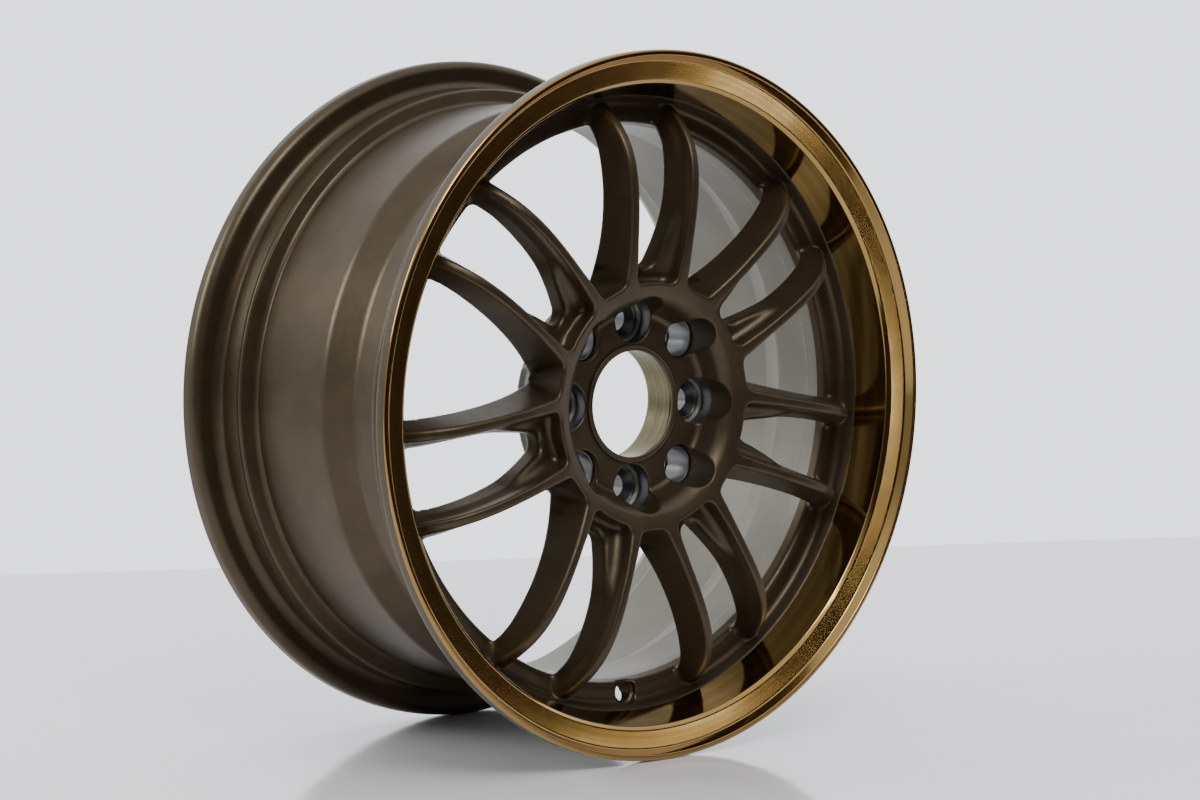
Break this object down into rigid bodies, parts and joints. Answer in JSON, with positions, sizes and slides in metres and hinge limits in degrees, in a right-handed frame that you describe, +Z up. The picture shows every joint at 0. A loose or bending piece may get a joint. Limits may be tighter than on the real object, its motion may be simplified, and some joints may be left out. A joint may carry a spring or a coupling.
{
  "type": "forged racing wheel rim",
  "caption": "Bare forged racing wheel rim with paired curved spokes, a deep polished lip, a dished hub with counterbored lug holes and a drop-centre barrel.",
  "frame": {"origin": "on the spin axis, midway between the two flanges, which is the centre of the bounding box", "axes": "+Y along the spin axis towards the car, so the street face looks along -Y; +Z up, with the valve hole straight down and one pair of spokes straight up; +X to the right when the street face is seen from the front"},
  "size_m": [0.4152, 0.2027, 0.4152],
  "materials": {
    "satin_bronze": "satin metallic bronze paint over forged aluminium",
    "barrel_bronze": "satin metallic bronze paint over turned aluminium",
    "polished_bronze": "machined, polished and tinted bronze clear coat",
    "machined_alloy": "bare machined",
    "bore_alloy": "fine turned under a thin bronze tint"
  },
  "bodies": {
    "root": {"hub": "satin_bronze", "bore_ring": "bore_alloy", "lug_seat_1": "machined_alloy", "lug_sleeve_2": "machined_alloy", "lug_seat_3": "machined_alloy", "lug_sleeve_4": "machined_alloy", "lug_seat_5": "machined_alloy", "lug_sleeve_6": "machined_alloy", "lug_seat_7": "machined_alloy", "lug_sleeve_8": "machined_alloy", "spoke_01": "satin_bronze", "spoke_02": "satin_bronze", "spoke_03": "satin_bronze", "spoke_04": "satin_bronze", "spoke_05": "satin_bronze", "spoke_06": "satin_bronze", "spoke_07": "satin_bronze", "spoke_08": "satin_bronze", "spoke_09": "satin_bronze", "spoke_10": "satin_bronze", "spoke_11": "satin_bronze", "spoke_12": "satin_bronze", "spoke_13": "satin_bronze", "spoke_14": "satin_bronze", "spoke_ring": "satin_bronze", "front_lip": "polished_bronze", "barrel": "barrel_bronze", "rear_flange": "barrel_bronze"}
  },
  "joints": []
}
